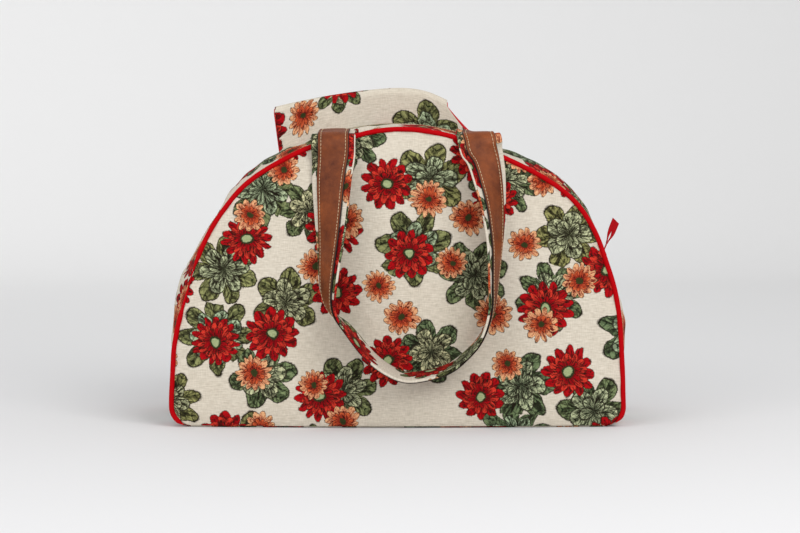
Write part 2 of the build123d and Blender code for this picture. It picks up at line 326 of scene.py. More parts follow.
def fullness(station):
    """How far the front seam stands out from the plain dome, by angle in degrees.

    Sum of soft swells and hollows, each with a height, a place and a width.
    """
    total = np.zeros_like(station, dtype=float)
    for height, place, width in seam_swells:
        total += height * np.exp(-(((station - place) / width) ** 2))
    return total


def seam(station):
    """Point and outward direction in XZ at a station of the seam.

    Stations are degrees over the dome, and go on down a leg and round a foot.
    """
    left = station > 90
    side = np.where(left, -1.0, 1.0)
    own = np.where(left, 180 - station, station)
    arc = np.radians(np.clip(own, 0, 90))
    down = np.radians(np.clip(-own, 0, leg_span)) * dome_radius
    turn = np.clip(-own - leg_span, 0, foot_span) / foot_span * math.pi / 2
    r = dome_radius + fullness(station)
    x = r * np.cos(arc) - foot_radius * (1 - np.cos(turn))
    z = axis_height + r * np.sin(arc) - down - foot_radius * np.sin(turn)
    return side * x, z, side * np.cos(arc) * np.cos(turn), np.sin(arc) - np.sin(turn)


def seam_points(station, inset):
    """Points in XZ along the seam, moved inwards."""
    x, z, nx, nz = seam(station)
    return np.stack([x - nx * inset, z - nz * inset], axis=-1)


def dome_patch(columns, rows, inset):
    """Grid over the dome's outline from its four edges.

    Each point is the sum of the two blends of facing edges, less the blend of the corners.
    """
    u = np.linspace(0, 1, columns)[:, None, None]
    v = np.linspace(0, 1, rows)[None, :, None]
    top = seam_points(np.linspace(135, 45, columns), inset)[:, None]
    left = seam_points(np.linspace(180 + foot_end, 135, rows), inset)[None]
    right = seam_points(np.linspace(-foot_end, 45, rows), inset)[None]
    low_left, low_right = left[:, :1], right[:, :1]
    bottom = low_left + (low_right - low_left) * u
    top_left, top_right = top[:1], top[-1:]
    low, high = low_left * (1 - u) + low_right * u, top_left * (1 - u) + top_right * u
    corners = low * (1 - v) + high * v
    return bottom * (1 - v) + top * v + left * (1 - u) + right * u - corners


def panel_out(x, z, seed):
    """Distance of a panel from the middle plane.

    A flat dome with slow waves, short puckers at the seam, a sag above the floor and a rounded lower edge.
    """
    up = np.maximum(z - axis_height, 0)
    angle = np.degrees(np.arctan2(up, x))
    share = np.minimum(np.hypot(x, up) / (dome_radius + fullness(angle)), 1)
    dome = panel_bulge * (1 - share**2)
    calm = (1 - share**6) * step(z, 0, 0.05)
    waves = panel_wave * slow_waves(x, z, seed, 0.09, 0.24) * calm
    around = np.arctan2(z - 0.11, x)
    edge = np.exp(-(1 - share) * dome_radius / pucker_reach) * step(z, 0.0, 0.03)
    puckers = seam_pucker * edge * np.sin(pucker_count * around + 2.5 * np.sin(9 * around + seed))
    roll = floor_roll * np.exp(-z / roll_reach)
    sag = panel_sag * np.exp(-(((z - sag_height) / sag_reach) ** 2)) * (1 - share**4)
    return half_depth + dome + waves + puckers + sag - roll


def panel(name, side, inset, thickness, seed, uv_shift):
    """Front (side -1) or back (side 1) panel of the bag, or its lining where inset is larger."""
    xz = dome_patch(150, 110, piping_radius * 0.4 + inset)
    x, z = xz[..., 0], xz[..., 1]
    y = side * (panel_out(x, z, seed) - inset)
    points = np.stack([x, y, z], axis=-1)
    uv = np.stack([-side * x, z], axis=-1) + np.array(uv_shift)
    return thicken(surface(name, points, uv, flip=side > 0), thickness)


def gusset_out(station, y):
    """Height of the strip round the dome above the seam.

    An arch up to the zip's circle, with puffs each side of the zip, a place pressed level by the left-hand
    strap, cross creases, a dip at the cross seam and a push from the base board at the floor.
    """
    depth = np.abs(y) / gusset_edge
    arch = (crest_radius - dome_radius - fullness(station)) * (1 - depth**2)
    width = np.clip((np.abs(y) - zip_hem) / (gusset_edge - zip_hem), 0, 1)
    shoulder = shoulder_puff * np.exp(-(((station - shoulder_place) / shoulder_width) ** 2))
    strength = shoulder * (1 - step(station, *shoulder_end))
    for height, first, last, soft in strip_puffs:
        strength = strength + height * between(station, first, last, soft)
    length = np.radians(station) * dome_radius
    past = length - math.radians(press_place) * dome_radius
    pressed = press_slope * past * between(station, *press_span, 2)
    rounded = np.sin(width * math.pi)
    puff = (strength + pressed * step(np.abs(y), *press_start)) * rounded
    creases = strip_crease * slow_waves(length, y * 0.35, 21, 0.018, 0.05) * rounded
    still = 1 - between(station, *still_span, 3)
    waves = strip_wave * slow_waves(length, y, 23, 0.06, 0.15) * rounded
    own = np.where(station > 90, 180 - station, station)
    turn = np.clip(-own - leg_span, 0, foot_span) / foot_span * math.pi / 2
    pushed = board_push * (1 - depth**2) * np.sin(2 * turn) ** 2
    sewn = np.exp(-(((own - cross_seam) / 0.6) ** 2)) * (depth > zip_hem / gusset_edge)
    seam_dip = cross_seam_dip * sewn
    return (arch + puff + (creases + waves) * still - seam_dip) * np.cos(turn) + pushed


def gusset_points(station, y, inset=0.0):
    """Points of the strip at stations (rows) and distances from its middle (columns), all above the floor."""
    s, y = np.meshgrid(station, y, indexing="ij")
    x, z, nx, nz = seam(s)
    out = gusset_out(s, y) - inset
    return np.stack([x + nx * out, y, np.maximum(z + nz * out, floor_gap)], axis=-1)


def gusset_uv(station, y, shift):
    """UV of the strip: distance from its middle and length round the dome."""
    s, y = np.meshgrid(np.radians(station) * dome_radius, y, indexing="ij")
    return np.stack([y, s], axis=-1) + np.array(shift)


def zip_strip(name, side, shift):
    """Strip between a seam and the zip, with its hem turned down at the zip."""
    station = np.linspace(cross_seam, 180 - cross_seam, 300)
    hem = zip_hem + np.array([0.0002, 0.0, 0.0003, 0.001, 0.002])
    y = side * np.concatenate([hem, np.linspace(zip_hem + hem_width, gusset_edge, 34)])
    points = gusset_points(station, y)
    away = np.stack(seam(station)[2:], axis=-1)
    turned_down = hem_drop * np.exp(-((np.arange(len(y)) / 1.6) ** 2))
    drop = away[:, None] * turned_down[None, :, None]
    points[..., 0] -= drop[..., 0]
    points[..., 2] -= drop[..., 1]
    return thicken(surface(name, points, gusset_uv(station, y, shift), flip=side > 0), cloth)


def side_strip(name, left, shift):
    """Strip from under a foot up to the end of the zip."""
    station = np.linspace(-foot_end, cross_seam, 110)
    if left:
        station = 180 - station[::-1]
    y = np.linspace(-gusset_edge, gusset_edge, 70)
    points = gusset_points(station, y)
    return thicken(surface(name, points, gusset_uv(station, y, shift), flip=True), cloth)


def gusset_lining(name):
    """Lining of the whole strip, open along the zip: two bands that meet below the ends of the zip."""
    station = np.linspace(-leg_span, 180 + leg_span, 260)
    y = np.linspace(-gusset_edge + 0.003, gusset_edge - 0.003, 60)
    points = gusset_points(station, y, strip_lining_inset)
    uv = gusset_uv(station, y, (0, 0))
    row, column = cells(len(station), len(y))
    mouth = between(station, cross_seam, 180 - cross_seam, 0.1)[row].min(axis=1) > 0.5
    keep = ~(mouth & (np.abs(y[column]).max(axis=1) < tape_edge))
    faces = (row * len(y) + column)[keep][:, ::-1]
    made = mesh_object(name, points, faces.tolist(), uv[row, column][keep][:, ::-1].reshape(-1, 2))
    return thicken(made, lining_thickness)


def base(name):
    """Base cloth between the panels' lower edges and the feet of the strip, a little hollow in the middle."""
    u = np.linspace(-1, 1, 90)
    v = np.linspace(-1, 1, 40)
    u, v = np.meshgrid(u, v, indexing="ij")
    x = u * (dome_radius - foot_radius + base_overlap)
    y = v * (half_depth - base_inset + panel_bulge * (1 - (x / dome_radius) ** 2))
    z = base_gap + base_hollow * (1 - u**4) * (1 - v**4)
    uv = np.stack([x, y], axis=-1) + np.array((0.31, 0.17))
    return thicken(surface(name, np.stack([x, y, z], axis=-1), uv, flip=True), cloth * 0.7)


def piping(name, side):
    """Round cord along a seam, with the slight unevenness of a sewn cover.

    Its ends turn in at the floor and taper, and the strip covers part of the front one on the left.
    """
    right_end, left_end = (leg_span + foot_span * share for share in piping_ends)
    left_end += 180
    station = np.linspace(-right_end, left_end, 460)
    x, z, nx, nz = seam(station)
    y = np.full_like(x, side * half_depth)
    length = np.radians(station) * dome_radius
    out = piping_wave * slow_waves(length, y, 31 + side, 0.03, 0.09)
    path = np.stack([x + nx * out, y, z + nz * out], axis=-1)
    from_right = step(station, -right_end, piping_tail - right_end)
    from_left = 1 - step(station, left_end - piping_tail, left_end)
    taper = 0.2 + 0.8 * np.minimum(from_right, from_left)
    covered = sum(share * between(station, first, last, 1.5) for share, first, last in piping_covers)
    shows = taper * (1 - (side < 0) * covered)
    away = np.stack([nx, np.zeros_like(x), nz], axis=-1) * shows[:, None]
    across = np.array([[0.0, 1.0, 0.0]]) * shows[:, None]
    angle = np.linspace(0, 2 * math.pi, 16, endpoint=False)
    profile = piping_radius * np.stack([np.cos(angle), np.sin(angle)], axis=-1)
    return carried(name, path, away, across, profile, flip=True)


# Zip

def ring_points(station, r, y):
    """Points round the dome's axis at stations, radii and distances along it."""
    angle = np.radians(station)
    return np.stack(np.broadcast_arrays(r * np.cos(angle), y, axis_height + r * np.sin(angle)), axis=-1)


def zip_tape(name, side):
    """Flat tape under the hem, from the teeth out."""
    station = np.linspace(cross_seam, 180 - cross_seam, 240)
    y = side * np.linspace(row_inner, tape_edge, 8)
    s, across = np.meshgrid(station, y, indexing="ij")
    points = ring_points(s, tape_top, across)
    uv = np.stack([across, np.radians(s) * tape_top], axis=-1)
    return thicken(surface(name, points, uv, flip=side > 0), tape_thickness)


def zip_teeth(name, side):
    """Row of teeth: small blocks that taper towards the zip's middle, half a pitch off the other row's."""
    start = cross_seam + stop_span + stop_clear
    pitch = math.degrees(tooth_pitch / crest_radius)
    station = np.arange(start + pitch / 2 * (side > 0), 180 - start, pitch)[:, None, None]
    shares = np.array([0.0, 0.1, 0.36, 0.55, 0.9, 1.0])[None, :, None]
    across = (row_outer + tooth_reach) * shares - tooth_reach
    girth = np.array([0.45, 0.68, 0.66, 0.95, 1.0, 0.7])[None, :, None]
    angle = np.linspace(0, 2 * math.pi, 8, endpoint=False)[None, None]
    squared = 1 / np.maximum(np.abs(np.cos(angle)), np.abs(np.sin(angle))) ** 0.6
    height = (row_top - row_bottom) / 2
    r = (row_top + row_bottom) / 2 + 0.86 * height * girth * squared * np.sin(angle)
    along = pitch * 0.36 * girth * squared * np.cos(angle)
    shapes = ring_points(station + along * -side, r, side * across)
    return repeated(name, shapes)


def zip_stitching(name, side):
    """Row of stitches beside the zip, a little in from the hem."""
    pitch = math.degrees(zip_stitch_pitch / crest_radius)
    station = np.arange(cross_seam + 1, 179 - cross_seam, pitch)
    ends = np.stack([station, station + pitch * 0.75], axis=-1)
    y = np.full_like(ends, side * (zip_hem + zip_stitch_inset))
    x, z, nx, nz = seam(ends)
    out = gusset_out(ends, y) + thread_rise
    points = np.stack([x + nx * out, y, z + nz * out], axis=-1)
    away = np.stack([nx, np.zeros_like(nx), nz], axis=-1)[:, 0]
    return stitches(name, points[:, 0], points[:, 1], away, zip_thread_radius)


def stitches(name, start, end, away, radius):
    """Rounded thread between pairs of points: rings whose width follows half a circle along the stitch."""
    t = np.array([0.0, 0.1, 0.5, 0.9, 1.0])
    girth = radius * np.array([0.35, 0.85, 1.0, 0.85, 0.35])
    angle = np.linspace(0, 2 * math.pi, 6, endpoint=False)[None, None, :, None]
    along = unit(end - start)
    across = unit(np.cross(away, along))
    middle = start[:, None] + (end - start)[:, None] * t[None, :, None]
    ring = across[:, None, None] * np.cos(angle) + away[:, None, None] * np.sin(angle)
    return repeated(name, middle[:, :, None] + ring * girth[None, :, None, None])


def pull_ribbon(name):
    """Ribbon in the puller's eye: two tails that part from a narrow foot, meet again and end on a slant."""
    along = np.array([math.cos(pull_turn), 0.0, math.sin(pull_turn)])
    across = np.array([-math.sin(pull_turn), 0.0, math.cos(pull_turn)])
    tail = np.array([-1.0, 1.0])[:, None, None]
    rows, columns = 36, 8
    t = np.linspace(0, 1, rows)[None, :, None]
    w = np.linspace(-1, 1, columns)[None, None]
    middle = 0.0006 + 0.0016 * step(t, 0, 0.4)
    place = tail * middle + w * (0.0007 + 0.0016 * step(t, 0.12, 0.65))
    end = ribbon_end - ribbon_slant * (ribbon_half_width - place)
    distance = ribbon_start + (end - ribbon_start) * t
    curl = 0.0008 * np.sin(t * 5 + tail * 0.4) * t + 0.0004 * w**2 * t
    points = pull_pin + distance[..., None] * along + place[..., None] * across
    points[..., 1] -= 0.0005 + curl + tail * 0.0004
    row, column = cells(rows, columns)
    one = row * columns + column
    uv = np.stack([place, distance], axis=-1)[:, row, column]
    made = mesh_object(name, points, np.concatenate([one, one + rows * columns]).tolist(), uv.reshape(-1, 2))
    return thicken(made, ribbon_thickness)


# Handles

def strip_radius(y):
    """Radius of the strip's plain arch at a distance from its middle."""
    return crest_radius - (crest_radius - dome_radius) * (y / gusset_edge) ** 2


def handle_end(x, drift):
    """Middle points of the strap from a sewn end on the strip up to the fold and over the piping.

    The strap drifts sideways through the fold.
    """
    seat_y = -half_depth * seat_shares
    seat_z = axis_height + np.sqrt((strip_radius(seat_y) + seat_gap + strap_thickness / 2) ** 2 - x**2)
    crest = axis_height + math.sqrt((dome_radius + piping_radius) ** 2 - fold_x**2) + fold_rise
    rise_z = seat_z[2] + (crest - seat_z[2]) * rise_shares
    turn = np.linspace(0, math.pi / 2, fold_count)
    fold_y = fold_radius - fold_reach - half_depth - fold_radius * np.sin(turn)
    fold_z = crest - fold_radius + fold_radius * np.cos(turn)
    y = np.concatenate([seat_y, rise_y, fold_y])
    across = x + drift * np.concatenate([np.zeros(len(y) - fold_count), np.sin(turn) ** 2])
    return np.stack([across, y, np.concatenate([seat_z, rise_z, fold_z])], axis=-1)


def handle_points():
    """Middle points of the strap from end to end, with its turn and lean in radians.

    The hanging part keeps its inner edge clear of the panel.
    """
    x, z, turn, lean = loop_line.T
    turn, lean = np.radians(turn), np.radians(lean)
    share = np.minimum(np.hypot(x, np.maximum(z - axis_height, 0)) / dome_radius, 1)
    face = half_depth + panel_bulge * (1 - share**2)
    out = face + strap_width / 2 * np.sin(turn) + strap_thickness / 2 + panel_gap
    out = np.maximum(out, half_depth + fold_reach)
    loop = np.stack([x, -out, z, turn, lean], axis=-1)
    start, end = handle_end(seat_x[0], 0.0), handle_end(seat_x[1], fold_drift)[::-1]
    first = np.concatenate([start, np.zeros((len(start), 2))], axis=1)
    eased = np.concatenate([np.linspace(1, 0, fold_count) ** 2, np.zeros(len(end) - fold_count)])
    last = np.stack([*end.T, math.pi - fold_turn * eased, np.zeros(len(end))], axis=-1)
    return np.concatenate([first, loop, last])


def handle_line(count):
    """Path of the strap, the direction of its width and that of its leather side, at count places."""
    line = spline(handle_points(), count)
    path, turn, lean = line[:, :3], line[:, 3], line[:, 4:]
    along = unit(np.gradient(path, axis=0))
    hanging = np.stack([-np.cos(turn), np.sin(turn), np.zeros(count)], axis=-1)
    outward = path * np.array([1.0, 0.0, 1.0]) - np.array([0.0, 0.0, axis_height])
    lying = unit(np.cross(along, outward))
    weight = step(np.abs(along[:, 1]), 0.35, 0.9) * (path[:, 2] > 0.25)
    right = right_level * (1 - step(path[:, 1], *right_level_span))
    level = np.where(path[:, 0] > 0, right, left_level)
    weight = (weight * (1 - level))[:, None]
    width = hanging * (1 - weight) + lying * weight
    width = unit(width - along * (width * along).sum(axis=-1, keepdims=True))
    width = width * np.cos(lean) - np.cross(width, along) * np.sin(lean)
    return path, width, np.cross(width, along)


def flat_profile(width, thickness, crown, groove=0.0):
    """Section of a flat band: rounded ends, a crown on its outer face and two sewn grooves near its edges."""
    w = np.linspace(-1, 1, 41) * (width - thickness) / 2
    dip = groove * np.exp(-(((np.abs(w) - width / 2 + stitch_inset) / groove_width) ** 2))
    top = thickness / 2 + crown * (1 - (2 * w / width) ** 2) - dip
    end = np.linspace(math.pi / 2, -math.pi / 2, 7)[1:-1]
    right = np.stack([w[-1] + thickness / 2 * np.cos(end), thickness / 2 * np.sin(end)], axis=-1)
    bottom = np.stack([w[::-4], np.full(len(w[::-4]), -thickness / 2)], axis=-1)
    left = right[::-1] * np.array([-1.0, 1.0])
    return np.concatenate([np.stack([w, top], axis=-1), right, bottom, left])


def handle(front, line):
    """Cloth strap, leather facing and its two rows of stitches; the back handle is the front one mirrored."""
    name = "front" if front else "back"
    path, width, outer = (part * np.array([1.0, 1.0 if front else -1.0, 1.0]) for part in line)
    band = flat_profile(strap_width, strap_thickness, strap_crown)
    strap = carried(f"{name}_handle_cloth", path, width, outer, band, flip=front)
    on_strap = path + outer * (strap_thickness / 2 + leather_thickness / 2 + facing_gap)
    facing = flat_profile(leather_width, leather_thickness, facing_crown, stitch_groove)
    leather = carried(f"{name}_handle_facing", on_strap, width, outer, facing, flip=front)
    length = lengths_along(on_strap)
    start = np.arange(stitch_margins[0], length[-1] - stitch_margins[1], stitch_pitch)
    threads = []
    across = leather_width / 2 - stitch_inset
    for edge in (-across, across):
        row = on_strap + width * edge + outer * (leather_thickness / 2 + thread_rise)
        first, last = at_lengths(start, length, row), at_lengths(start + stitch_length, length, row)
        threads.append((first, last, unit(at_lengths(start, length, outer))))
    first, last, away = (np.concatenate(group) for group in zip(*threads))
    thread = stitches(f"{name}_handle_stitching", first, last, away, handle_thread_radius)
    return strap, leather, thread


# Top sleeve

def sleeve(name, inset, left_end, right_end, thickness, shift):
    """Folded band on the rear half of the top: up its front wall, round the fold and down its back wall.

    Its ends slope. A lining is inset, and stands past the band's ends.
    """
    radius = (sleeve_back - sleeve_front) / 2 - inset
    wall, bend = np.linspace(0, 1, 26), np.linspace(0, math.pi, 15)[1:-1]
    height = np.concatenate([wall, np.ones_like(bend), wall[::-1]])[None]
    turn = np.concatenate([np.zeros_like(wall), bend, np.full_like(wall, math.pi)])[None]
    left = sleeve_ends[0] - left_end - left_slope * height
    right = sleeve_ends[1] + right_end * (1 - 0.9 * height) - right_slope * height
    x = left + (right - left) * np.linspace(0, 1, 110)[:, None]
    y = (sleeve_front + sleeve_back) / 2 - radius * np.cos(turn)
    line = spline(sleeve_line, 300)
    top = np.interp(x, line[:, 0], line[:, 1]) - radius - inset
    foot = axis_height + np.sqrt((strip_radius(y) + seat_gap) ** 2 - x**2)
    z = foot + (top - foot) * height + radius * np.sin(turn)
    ripple = sleeve_ripple * slow_waves(x, height * 0.03, 41, 0.05, 0.12) * np.sin(height * math.pi / 2)
    points = np.stack(np.broadcast_arrays(x, y + ripple, z), axis=-1)
    round_fold = lengths_along(points[len(points) // 2])
    uv = np.stack(np.broadcast_arrays(x, round_fold[None]), axis=-1) + np.array(shift)
    return thicken(surface(name, points, uv), thickness)


# Shader maths

def srgb(red, green, blue):
    """Screen colour from 0 to 255 as the linear colour that a shader takes."""
    parts = np.array([red, green, blue]) / 255
    linear = np.where(parts <= 0.04045, parts / 12.92, ((parts + 0.055) / 1.055) ** 2.4)
    return (*(float(part) for part in linear), 1.0)


class Wire:
    """A shader socket that takes part in sums: each operator adds a Math node to its tree."""

    def __init__(self, tree, socket):
        self.tree, self.socket = tree, socket

    def node(self, kind, settings=None, values=None, out=0):
        """Adds a node with its settings and the values or links of its sockets, and gives one output."""
        made = self.tree.nodes.new(kind)
        for key, value in (settings or {}).items():
            setattr(made, key, value)
        for key, value in (values or {}).items():
            if isinstance(value, Wire):
                self.tree.links.new(value.socket, made.inputs[key])
            else:
                made.inputs[key].default_value = value
        return Wire(self.tree, made.outputs[out])

    def other(self, out):
        """Another output of the same node."""
        return Wire(self.tree, self.socket.node.outputs[out])

    def math(self, operation, *others):
        return self.node("ShaderNodeMath", {"operation": operation}, dict(enumerate((self, *others))))

    def clamp(self):
        return self.node("ShaderNodeClamp", None, {0: self})

    def mix(self, first, second):
        """Colour between two, by this value."""
        return self.node("ShaderNodeMix", {"data_type": "RGBA"}, {0: self, 6: first, 7: second}, out=2)

    def vector(self, operation, other):
        return self.node("ShaderNodeVectorMath", {"operation": operation}, {0: self, 1: other})

    def split(self):
        first = self.node("ShaderNodeSeparateXYZ", None, {0: self})
        return first, first.other(1), first.other(2)

    def __add__(self, other):
        return self.math("ADD", other)

    __radd__ = __add__

    def __sub__(self, other):
        return self.math("SUBTRACT", other)

    def __rsub__(self, other):
        return self.node("ShaderNodeMath", {"operation": "SUBTRACT"}, {0: other, 1: self})

    def __mul__(self, other):
        return self.math("MULTIPLY", other)

    __rmul__ = __mul__

    def __truediv__(self, other):
        return self.math("DIVIDE", other)

    def __gt__(self, other):
        return self.math("GREATER_THAN", other)

    def __lt__(self, other):
        return self.math("LESS_THAN", other)


def new_material(name, coordinates, **constants):
    """New material: its shader, with constants on the shader's sockets, and a wire with its coordinates."""
    made = bpy.data.materials.new(name)
    made.use_nodes = True
    tree = made.node_tree
    shader = tree.nodes["Principled BSDF"]
    for key, value in constants.items():
        shader.inputs[key.replace("_", " ")].default_value = value
    place = tree.nodes.new("ShaderNodeTexCoord")
    return made, shader, Wire(tree, place.outputs[coordinates])


def feed(shader, **wires):
    """Links wires to the shader's sockets by name."""
    for key, wire in wires.items():
        wire.tree.links.new(wire.socket, shader.inputs[key.replace("_", " ")])


def bump(height, distance, strength=1.0):
    """Normal tilted by a height from 0 to 1 that stands for a distance."""
    return height.node("ShaderNodeBump", None, {"Strength": strength, "Distance": distance, "Height": height})


def noise(place, scale, detail=2.0, roughness=0.5):
    """Smooth noise from 0 to 1; its second output is a random colour."""
    values = {"Vector": place, "Scale": scale, "Detail": detail, "Roughness": roughness}
    return place.node("ShaderNodeTexNoise", None, values)


def stretched(place, across, along):
    """Coordinates multiplied by two numbers, for threads that are longer one way."""
    return place.vector("MULTIPLY", (across, along, 1.0))


# Printed cloth

cream = srgb(231, 224, 211)
outline_ink = srgb(30, 22, 14)


def scatter(place, cell, turn, looseness):
    """Distance in metres and angle from the nearest centre of a loose scatter, with its random numbers."""
    scaled = place.node("ShaderNodeMapping", None, {0: place, 2: (0, 0, turn), 3: (1 / cell, 1 / cell, 1)})
    settings = {"voronoi_dimensions": "2D", "feature": "F1"}
    values = {"Vector": scaled, "Scale": 1.0, "Randomness": looseness}
    centre = scaled.node("ShaderNodeTexVoronoi", settings, values, out="Position")
    x, y, _ = scaled.vector("SUBTRACT", centre).split()
    first, second, third = centre.other("Color").split()
    away = (x * x + y * y).math("SQRT") * cell
    angle = y.math("ARCTAN2", x) + second * (2 * math.pi)
    return away, angle, first, second, third


def streaks(r, angle, first):
    """Fine strokes that run out from a centre: noise over angle and distance."""
    place = r.node("ShaderNodeCombineXYZ", None, {0: angle * 7, 1: r * 2.6, 2: first * 40})
    return noise(place, 1.7, 3.0, 0.65)


def lobes(colour, r, angle, count, tip, dip, deep, bright, line, stroke, veins=0.0):
    """Paints a ring of lobes over a colour.

    Their edge swings between dip and tip, strokes pale them outwards, and a dark line runs round them.
    """
    half = (angle * (1 / (2 * math.pi)) * count).math("PINGPONG", 0.5) * 2
    edge = tip - half * half * (tip - dip)
    inside = ((edge - r) * 24).clamp()
    out = (r / edge).clamp()
    paint = (out * out * 1.05 + (stroke - 0.5) * 3.2 - half * 0.2).clamp().mix(deep, bright)
    if veins:
        rows = (r * veins - half * 1.3).math("PINGPONG", 0.5)
        paint = ((rows < 0.1) * 0.6 + (half < 0.12) * 0.5).clamp().mix(paint, deep)
    ink = 0.53 if veins else 0.485
    paint = (((ink - stroke) * 16).clamp() * (1.4 - out)).clamp().mix(paint, outline_ink)
    border = ((edge - r) < line) + (half > 0.95)
    paint = (border.clamp() * 0.92).mix(paint, outline_ink)
    return inside.mix(colour, paint)


def leaf_clusters(colour, place):
    """Rosettes of broad leaves in yellow-green to blue-green."""
    away, angle, first, second, third = scatter(place, 0.086, 0.35, 0.45)
    r = away / (0.036 + first * 0.009) + (third > 0.96) * 9
    stroke = streaks(r, angle, first)
    count = (second * 3.99).math("FLOOR") + 6
    bright = first.mix(srgb(232, 228, 180), srgb(186, 208, 170))
    middle = third.mix(srgb(168, 166, 106), srgb(114, 140, 104))
    dark = third.mix(srgb(40, 44, 18), srgb(26, 46, 30))
    colour = lobes(colour, r, angle, count, 1.0, 0.58, dark, middle, 0.07, stroke, 5.0)
    inner = angle + second * 3
    colour = lobes(colour, r * 1.42, inner, count - 1, 1.0, 0.55, dark, bright, 0.08, stroke, 4.0)
    return lobes(colour, r * 2.4, angle, count - 2, 1.0, 0.5, dark, bright, 0.12, stroke, 2.0)


def red_blooms(colour, place):
    """Many-petalled red flowers with a pale green heart."""
    away, angle, first, second, third = scatter(place, 0.090, 1.13, 0.5)
    r = away / (0.0265 + first * 0.006) + (third > 0.90) * 9
    stroke = streaks(r, angle, first)
    count = (second * 4.99).math("FLOOR") + 11
    deep, mid, light = srgb(84, 0, 10), srgb(186, 12, 20), srgb(230, 62, 46)
    colour = lobes(colour, r, angle, count, 1.0, 0.72, deep, mid, 0.05, stroke)
    colour = lobes(colour, r * 1.32, angle + 0.31, count, 1.0, 0.68, deep, light, 0.06, stroke)
    colour = lobes(colour, r * 1.95, angle + 0.12, count - 3, 1.0, 0.6, deep, mid, 0.08, stroke)
    colour = ((0.24 - r) * 30).clamp().mix(colour, srgb(44, 54, 30))
    return ((0.17 - r) * 30).clamp().mix(colour, stroke.mix(srgb(110, 136, 84), srgb(206, 214, 168)))


def small_blooms(colour, place):
    """Small salmon flowers with a dark heart."""
    away, angle, first, second, third = scatter(place, 0.066, 2.1, 0.6)
    r = away / (0.0165 + first * 0.006) + (third > 0.46) * 9
    stroke = streaks(r, angle, first)
    count = (second * 3.99).math("FLOOR") + 11
    deep, light = srgb(178, 30, 22), srgb(246, 190, 140)
    colour = lobes(colour, r, angle, count, 1.0, 0.74, deep, light, 0.06, stroke)
    inner_deep, inner_light = srgb(140, 10, 18), srgb(232, 110, 64)
    colour = lobes(colour, r * 1.6, angle + 0.3, count - 2, 1.0, 0.7, inner_deep, inner_light, 0.08, stroke)
    return ((0.2 - r) * 24).clamp().mix(colour, srgb(56, 60, 30))


def shaken(place, scale, reach):
    """Small random shifts in two directions."""
    middle = noise(place, scale, 1.0).other("Color").vector("SUBTRACT", (0.5, 0.5, 0.5))
    return middle.vector("MULTIPLY", (reach, reach, 0))


def printed_cloth():
    """Tapestry cloth: flowers and leaves on a cream ground, with ragged woven edges and rows of threads."""
    made, shader, place = new_material("printed_cloth", "UV", Roughness=0.92, Specular_IOR_Level=0.1)
    drawn = place.vector("ADD", shaken(place, 55, 0.009)).vector("ADD", shaken(place, 700, 0.002))
    tone = noise(place, 9, 2.0)
    ground = tone.mix(cream, srgb(221, 211, 194))
    inked = small_blooms(red_blooms(leaf_clusters(ground, drawn), drawn), drawn)
    weft = noise(stretched(place, 110, 900), 1.0, 1.0)
    warp = noise(stretched(place, 900, 160), 1.0, 1.0)
    threads = weft * 0.65 + warp * 0.35
    shade = ((threads - 0.5) * 1.3 + 0.5).clamp().mix(srgb(190, 186, 178), srgb(255, 255, 255))
    settings = {"data_type": "RGBA", "blend_type": "MULTIPLY"}
    colour = inked.node("ShaderNodeMix", settings, {0: 1.0, 6: inked, 7: shade}, out=2)
    feed(shader, Base_Color=colour, Normal=bump(threads, 0.0006, 0.8))
    return made


def red_cloth(name, colour, worn, across, along, gloss=0.2, sheen=0.2):
    """Plain red cloth with a fine rib, a little worn towards its lighter threads."""
    constants = {"Specular_IOR_Level": gloss, "Sheen_Weight": sheen, "Sheen_Roughness": 0.5}
    made, shader, place = new_material(name, "UV", Roughness=0.6, **constants)
    rib = noise(stretched(place, across, along), 1.0, 1.0)
    tone = noise(place, 60, 3.0)
    mixed = (rib * 0.5 + tone * 0.5).mix(colour, worn)
    feed(shader, Base_Color=mixed, Normal=bump(rib, 0.0004, 0.7))
    return made


def brown_leather():
    """Tan leather: cloudy browns and fine pores on the face, and cut edges painted near black: their own dark
    brown, deepened with painted shade from the gap beside the strap.
    """
    made, shader, across = new_material("brown_leather", "UV", Specular_IOR_Level=0.25)
    place = across.other("Object")
    cloud = noise(place, 24, 4.0, 0.6)
    spots = noise(place, 150, 3.0, 0.6)
    tone = ((cloud - 0.5) * 2.0 + (spots - 0.5) * 0.9 + 0.5).clamp()
    colour = tone.mix(srgb(80, 32, 9), srgb(144, 73, 30))
    settings = {"feature": "DISTANCE_TO_EDGE"}
    pores = place.node("ShaderNodeTexVoronoi", settings, {"Vector": place, "Scale": 900.0})
    crease = (pores * 6).clamp()
    colour = (crease * 0.4 + 0.6).mix(srgb(64, 30, 14), colour)
    round_edge, _, _ = across.split()
    # Cut edges: the leather's own dark brown edge, deepened to near black as painted shade of the gap beside
    # the strap.
    colour = (round_edge > leather_width - leather_thickness + 0.0004).mix(colour, srgb(34, 20, 14))
    rough = 0.62 - tone * 0.16 + (spots - 0.5) * 0.1
    height = crease * 0.5 + spots
    feed(shader, Base_Color=colour, Roughness=rough, Normal=bump(height, 0.0003, 0.5))
    return made


def thread_finish():
    """Cream sewing thread with a slight twist."""
    made, shader, place = new_material("cream_thread", "Object", Roughness=0.8, Specular_IOR_Level=0.1)
    twist = noise(place, 2200, 1.0)
    colour = twist.mix(srgb(190, 160, 122), srgb(226, 204, 170))
    feed(shader, Base_Color=colour, Normal=bump(twist, 0.0002, 0.6))
    return made


def hard_finish(name, dark, light, roughness, metallic, scale):
    """Hard piece with a cloudy colour and worn gloss."""
    made, shader, place = new_material(name, "Object", Metallic=metallic)
    cloud = noise(place, scale, 4.0, 0.6)
    rough = cloud * 0.2 + (roughness - 0.1)
    feed(shader, Base_Color=cloud.mix(dark, light), Roughness=rough, Normal=bump(cloud, 0.0001, 0.3))
    return made


# Pieces

